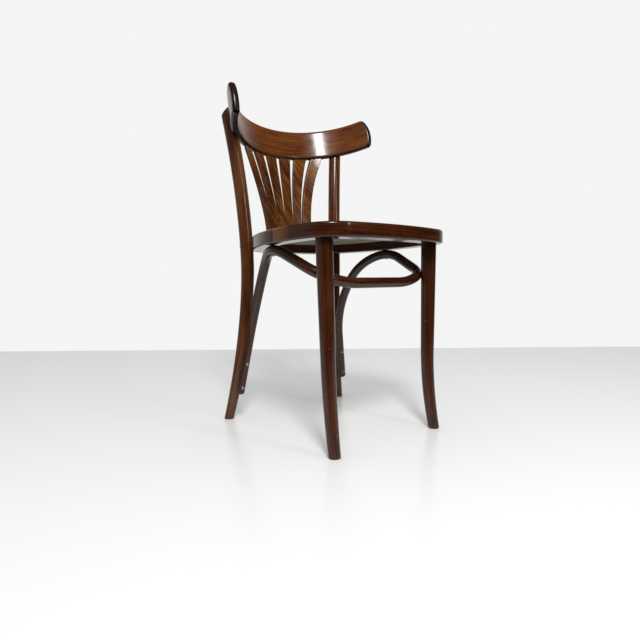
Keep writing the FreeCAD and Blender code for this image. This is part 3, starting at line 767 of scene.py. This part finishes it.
def crest_end(length):
    """The curved end of the flat board, from its heel to its top corner, length from the
    board's middle."""
    bow = Vector((length - CREST_END_BOW, -CREST_END_DROP))
    turns = [-math.pi / 2]
    centres = []
    for round_off, edge in ((CREST_HEEL_ROUND, -1), (CREST_TIP_ROUND, 1)):
        height = edge * (CREST_HEIGHT / 2 - round_off)
        reach = CREST_END_BOW - round_off
        centre = Vector((bow.x + math.sqrt(reach ** 2 - (height - bow.y) ** 2), height))
        centres.append(centre)
        turns.append(math.atan2(centre.y - bow.y, centre.x - bow.x))
    heel = corner_arc(centres[0], CREST_HEEL_ROUND, turns[0], turns[1], 5)
    end = corner_arc(bow, CREST_END_BOW, turns[1], turns[2], 18)
    return heel + end[1:-1] + corner_arc(centres[1], CREST_TIP_ROUND, turns[2], math.pi / 2, 6)


half_length = CREST_HALF_ANGLE * (CREST_RADIUS + CREST_THICK / 2)
left_end = crest_end(half_length)
right_end = [Vector((-p.x, p.y)) for p in reversed(crest_end(half_length + RIGHT_ARM_LONGER))]


def bend_crest(p):
    """From the flat board to the bent one. p.y is its height, p.z how far out it lies."""
    angle = p.x / (CREST_RADIUS + CREST_THICK / 2)
    radius = CREST_RADIUS + p.z
    share = min(1, max(0, (LIFT_LENGTH - half_length - p.x) / LIFT_LENGTH))
    lift = RIGHT_ARM_LIFT * share ** 2 * (3 - 2 * share)
    return lean_with_crest(radius * math.sin(angle), radius * math.cos(angle) - CREST_RADIUS,
                           p.y + lift)


crest = board("crest_rail_board", left_end + right_end, CREST_THICK, CREST_EDGE_ROUND, CREST_GRID,
              bend_crest, lambda p: (p.y, p.z, p.x + GRAIN_START))
crest.data.materials.append(stained_beech("lacquered_beech_crest", "451f09", "703e1c", "8a5328",
                                          (6, 140), 0.95, gloss=0.17, ring_gap=5))
# its underside and its sawn ends are painted nearly black; on the underside this is painted shade
crest.data.materials.append(stained_beech("lacquered_beech_crest_shaded_underside_and_ends", "0e0603", "1c0c06", "301a0e",
                                          (6, 60), gloss=0.25))


def on_shaded_underside_or_end(across, along):
    """Whether a place in the board's wood lies on its underside, which is painted shade, or on a sawn end;
    both are painted nearly black.
    """
    length = half_length + (RIGHT_ARM_LONGER if along < GRAIN_START else 0)
    past = max(0, abs(along - GRAIN_START) - (length - CREST_END_BOW))
    at_end = past > 0 and math.hypot(past, across + CREST_END_DROP) > CREST_END_BOW - DARK_EDGE
    return at_end or across < DARK_EDGE - CREST_HEIGHT / 2


places = crest.data.attributes["grain"].data
for face in crest.data.polygons:
    corners = [places[loop].vector for loop in face.loop_indices]
    across, _, along = sum(corners, Vector((0, 0, 0))) / len(corners)
    face.material_index = int(on_shaded_underside_or_end(across, along))
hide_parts("crest_rail")
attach(crest, "root")


# Fan splat
# Thin beech plywood, bent round the same form as the crest rail. Five sawn slots open
# toward the top and part it into six fingers; its face veneer runs slantwise.
SPLAT_THICK = 7
SPLAT_FOOT_HALF = 72
SPLAT_NECK_HALF = 73
SPLAT_NECK_Z = 505
SPLAT_FLARE_HALF = 88.5
SPLAT_FLARE_Z = 590
SPLAT_TOP_HALF = 120.5
SPLAT_TOP_Z = CREST_MID_Z - CREST_HEIGHT / 2
SPLAT_FOOT_Z = 438
SPLAT_HIDDEN = 8           # how far the fingers reach up into the crest rail's groove
SPLAT_EDGE_ROUND = 0.8
SPLAT_GRID = (6, 12)
SLOT_FOOT_Z = 488
# a slot's distance from the next one, its height in the chair and its width, from the foot up
SLOT_SIZES = ((23.5, SLOT_FOOT_Z, 3.8), (31, SPLAT_FLARE_Z, 6.4), (44, SPLAT_TOP_Z, 11.8))
SLOT_STEPS = 24
VENEER_SLANT = math.radians(28)
VENEER_START = 2000        # keeps every place along the grain above zero


def arc_through(a, b, c, steps):
    """Even points on the circle arc from a to c that passes through b."""
    d = 2 * (a.x * (b.y - c.y) + b.x * (c.y - a.y) + c.x * (a.y - b.y))
    squares = [p.length_squared for p in (a, b, c)]
    x = (squares[0] * (b.y - c.y) + squares[1] * (c.y - a.y) + squares[2] * (a.y - b.y)) / d
    y = (squares[0] * (c.x - b.x) + squares[1] * (a.x - c.x) + squares[2] * (b.x - a.x)) / d
    centre = Vector((x, y))
    radius = (a - centre).length
    start, end = [math.atan2(p.y - y, p.x - x) for p in (a, c)]
    if abs(end - start) > math.pi:
        end += 2 * math.pi if end < start else -2 * math.pi
    return corner_arc(centre, radius, start, end, steps)


def splat_side():
    """The outer edge on the sitter's left, from the foot to the crest rail's groove."""
    neck = Vector((SPLAT_NECK_HALF, SPLAT_NECK_Z))
    flare = Vector((SPLAT_FLARE_HALF, SPLAT_FLARE_Z))
    shoulder = Vector((SPLAT_TOP_HALF, SPLAT_TOP_Z))
    return ([Vector((SPLAT_FOOT_HALF, SPLAT_FOOT_Z))] + arc_through(neck, flare, shoulder, SLOT_STEPS)
            + [Vector((SPLAT_TOP_HALF, SPLAT_TOP_Z + SPLAT_HIDDEN))])


def slot_wall(rank, hand):
    """One wall of a slot from its foot up, carried straight on into the groove. rank counts
    the slots from the middle one, hand says which wall."""
    points = [Vector((pitch * rank + hand * width / 2, z)) for pitch, z, width in SLOT_SIZES]
    wall = arc_through(*points, SLOT_STEPS)
    last = wall[-1] - wall[-2]
    return wall + [wall[-1] + last * SPLAT_HIDDEN / last.y]


shape = splat_side()
for rank in (2, 1, 0, -1, -2):
    shape += slot_wall(rank, 1)[::-1]
    shape += [Vector((SLOT_SIZES[0][0] * rank, SLOT_FOOT_Z - SLOT_SIZES[0][2] / 2))]
    shape += slot_wall(rank, -1)
shape += [Vector((-p.x, p.y)) for p in reversed(splat_side())]


def bend_splat(p):
    """From the flat sheet, where p.y is the height in the chair, to the crest rail's bend."""
    radius = CREST_RADIUS + CREST_THICK / 2 - SPLAT_THICK / 2 + p.z
    y = math.sqrt(radius ** 2 - p.x ** 2) - CREST_RADIUS
    z = (p.y - CREST_MID_Z + y * math.sin(CREST_TILT)) / math.cos(CREST_TILT)
    return lean_with_crest(p.x, y, z)


def veneer(p):
    """The slantwise grain of the splat's face veneer."""
    return (p.x * math.cos(VENEER_SLANT) + p.y * math.sin(VENEER_SLANT), p.z,
            p.y * math.cos(VENEER_SLANT) - p.x * math.sin(VENEER_SLANT) + VENEER_START)


splat = board("fan_splat_board", shape, SPLAT_THICK, SPLAT_EDGE_ROUND, SPLAT_GRID, bend_splat, veneer, 2)
splat.data.materials.append(stained_beech("lacquered_plywood_splat", "371906", "673914", "925b22",
                                          (5, 90), 1.6, gloss=0.17, ring_gap=5))
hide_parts("fan_splat")
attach(splat, "root")


# Screws and bolts
# Plain steel: slotted wood screws through the rod and behind the splat, and domed bolts
# with nuts that tie the back posts to the ring. They are dull and blotched with grime.
GRIME_SIZE = 2.5           # width of the dark blotches, drawn coarse so that they show
SCRATCH_DEPTH = 0.05


def dulled_steel(name, tint, rough):
    """Zinc-plated steel gone dull: grey, softly blotched, rougher and darker where grimy."""
    made = bpy.data.materials.new(name)
    made.use_nodes = True
    tree = made.node_tree
    tree.nodes.clear()
    place = node(tree, "ShaderNodeTexCoord").outputs["Object"]
    spots = node(tree, "ShaderNodeTexNoise", {"Scale": 1 / (GRIME_SIZE * MM), "Detail": 4,
                                              "Roughness": 0.7, "Vector": place}).outputs[0]
    ramp = node(tree, "ShaderNodeValToRGB", {0: spots})
    ramp.color_ramp.elements[0].position = 0.35
    ramp.color_ramp.elements[0].color = colour("6e675f")
    ramp.color_ramp.elements[1].position = 0.65
    ramp.color_ramp.elements[1].color = colour(tint)
    wear = node(tree, "ShaderNodeMapRange",
                {"Value": spots, "To Min": rough - 0.08, "To Max": rough + 0.12}).outputs[0]
    bump = node(tree, "ShaderNodeBump", {"Strength": 0.3, "Distance": SCRATCH_DEPTH * MM,
                                         "Height": spots}).outputs[0]
    surface = node(tree, "ShaderNodeBsdfPrincipled",
                   {"Metallic": 1, "Base Color": ramp.outputs[0], "Roughness": wear,
                    "Normal": bump}).outputs[0]
    node(tree, "ShaderNodeOutputMaterial", {0: surface})
    return made


screw_steel = dulled_steel("dulled_screw_steel", "c9c2b6", 0.38)
bolt_steel = dulled_steel("dulled_bolt_steel", "b7b0a5", 0.42)
for name, steel in (("brace_screws", screw_steel), ("splat_screws", screw_steel),
                    ("crest_screws", screw_steel), ("post_bolts", bolt_steel),
                    ("post_washers", bolt_steel), ("post_nuts", bolt_steel)):
    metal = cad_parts[name]
    metal.data.materials.clear()
    metal.data.materials.append(steel)


# Crest plugs
# Turned beech plugs glued over the screws that hold the crest rail, pared almost flush
# with the back of each post, their grain set along the post's.
plug_wood = stained_beech("lacquered_beech_plug", "2a1208", "452410", "5c3618", (5, 130))
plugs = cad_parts["crest_plugs"]
plugs.data.materials.clear()
plugs.data.materials.append(plug_wood)


# Studio
# A pale sheet of floor that ends a little behind and in front of the chair, white beyond
# it. A high lamp behind the camera is the main light and a narrow far one draws the thin
# bright lines on the posts; faint even light fills in from above.
PHOTO_SIZE = 640
FOCAL_PIXELS = 484.54
CAMERA_PLACE = Vector((-751.4, -915.6, 353.5))
CAMERA_TURN = math.radians(-38.389)
CAMERA_DROP = math.radians(4.909)
CAMERA_ROLL = math.radians(-0.451)
SENSOR = 36

ahead = Vector((-math.sin(CAMERA_TURN) * math.cos(CAMERA_DROP),
                math.cos(CAMERA_TURN) * math.cos(CAMERA_DROP), -math.sin(CAMERA_DROP)))
aside = Vector((math.cos(CAMERA_TURN), math.sin(CAMERA_TURN), 0))
overhead = aside.cross(ahead)
right = aside * math.cos(CAMERA_ROLL) + overhead * math.sin(CAMERA_ROLL)
upward = overhead * math.cos(CAMERA_ROLL) - aside * math.sin(CAMERA_ROLL)
camera_data = bpy.data.cameras.new("camera")
camera_data.sensor_fit = "HORIZONTAL"
camera_data.sensor_width = SENSOR
camera_data.lens = FOCAL_PIXELS * SENSOR / PHOTO_SIZE
camera_data.clip_start = 0.01
camera = bpy.data.objects.new("camera", camera_data)
turned = Matrix((right, upward, -ahead)).transposed().to_4x4()
camera.matrix_world = Matrix.Translation(CAMERA_PLACE * MM) @ turned
bpy.context.scene.collection.objects.link(camera)
bpy.context.scene.camera = camera

FLOOR_BEHIND = 1230
FLOOR_AHEAD = 800
FLOOR_SIDE = 1700
floor_mesh = bpy.data.meshes.new("floor")
level_ahead = Vector((ahead.x, ahead.y, 0)).normalized()
corners = [aside * a * FLOOR_SIDE + level_ahead * b for a, b in
           ((-1, -FLOOR_AHEAD), (1, -FLOOR_AHEAD), (1, FLOOR_BEHIND), (-1, FLOOR_BEHIND))]
floor_mesh.from_pydata([c * MM for c in corners], [], [(0, 1, 2, 3)])
floor = bpy.data.objects.new("floor", floor_mesh)
bpy.context.scene.collection.objects.link(floor)
# smooth white paper with a faint sheen; as a source of bounced light it is greyer, so that
# the chair keeps dark undersides
floor_paper = bpy.data.materials.new("pale_floor")
floor_paper.use_nodes = True
tree = floor_paper.node_tree
tree.nodes.clear()
rays = node(tree, "ShaderNodeLightPath")
tint = node(tree, "ShaderNodeMix", {"data_type": "RGBA", 0: rays.outputs["Is Diffuse Ray"],
                                    6: colour("fafaf7"), 7: colour("8e8c88")}).outputs[2]
surface = node(tree, "ShaderNodeBsdfPrincipled",
               {"Roughness": 0.25, "Specular IOR Level": 0.4, "Base Color": tint}).outputs[0]
node(tree, "ShaderNodeOutputMaterial", {0: surface})
floor_mesh.materials.append(floor_paper)

# each lamp's place, the point it is aimed at, its width and height in metres, and its watts
LAMPS = {"high_lamp": ((-0.891, -1.463, 2.04), (0, 0, 0.5), 0.42, 0.75, 38),
         "far_lamp": ((0.385, -1.63, 1.12), (0.1, 0.1, 0.6), 0.07, 0.6, 3)}
for name, (place, aim, width, height, power) in LAMPS.items():
    light = bpy.data.lights.new(name, "AREA")
    light.shape = "RECTANGLE"
    light.size = width
    light.size_y = height
    light.energy = power
    lamp = bpy.data.objects.new(name, light)
    lamp.location = place
    lamp.rotation_euler = (Vector(aim) - Vector(place)).to_track_quat("-Z", "Y").to_euler()
    lamp.visible_camera = False
    bpy.context.scene.collection.objects.link(lamp)

world = bpy.data.worlds.new("white_studio")
bpy.context.scene.world = world
world.use_nodes = True
tree = world.node_tree
tree.nodes.clear()
rays = node(tree, "ShaderNodeLightPath")
direction = node(tree, "ShaderNodeTexCoord").outputs["Generated"]
STRAIGHT_UP = Vector((0, 0, 1))
LAMP_GLOW_WAY = Vector((-0.45, -0.64, 0.62))


def toward(way, low, high, strength, least=0):
    """Brightness that rises from least to strength as a direction nears the given one. low
    and high are cosines of the angle to it."""
    facing = node(tree, "ShaderNodeVectorMath",
                  {"operation": "DOT_PRODUCT", 0: direction, 1: way}).outputs["Value"]
    return node(tree, "ShaderNodeMapRange",
                {"Value": facing, "From Min": low, "From Max": high, "To Min": least,
                 "To Max": strength}).outputs[0]


# what the lacquer mirrors: a white card behind the chair that ends a third of the way up,
# a dimmer one on the left, a glow round the high lamp and a faint one overhead
card = node(tree, "ShaderNodeMath",
            {"operation": "MULTIPLY", 0: toward(level_ahead, 0.3, 0.75, 0.88),
             1: toward(-STRAIGHT_UP, -0.62, -0.38, 1)}).outputs[0]
shown = rays.outputs["Is Camera Ray"]
for glow in (card, toward(-aside, 0.45, 1, 0.3), toward(LAMP_GLOW_WAY, 0.9, 0.99, 1),
             toward(STRAIGHT_UP, 0.7, 1, 0.15)):
    shown = node(tree, "ShaderNodeMath", {"operation": "MAXIMUM", 0: shown, 1: glow}).outputs[0]
seen = rays.outputs["Is Camera Ray"]
for kind in ("Is Glossy Ray", "Is Transmission Ray"):
    seen = node(tree, "ShaderNodeMath",
                {"operation": "MAXIMUM", 0: seen, 1: rays.outputs[kind]}).outputs[0]
white = node(tree, "ShaderNodeBackground", {"Color": colour("f4f5f4"), "Strength": shown}).outputs[0]
fill = node(tree, "ShaderNodeBackground",
            {"Color": colour("fafcff"), "Strength": toward(STRAIGHT_UP, -0.2, 0.3, 0.55, 0.15)}).outputs[0]
mixed = node(tree, "ShaderNodeMixShader", {0: seen, 1: fill, 2: white}).outputs[0]
node(tree, "ShaderNodeOutputWorld", {0: mixed})
bpy.context.scene.view_settings.view_transform = "Standard"
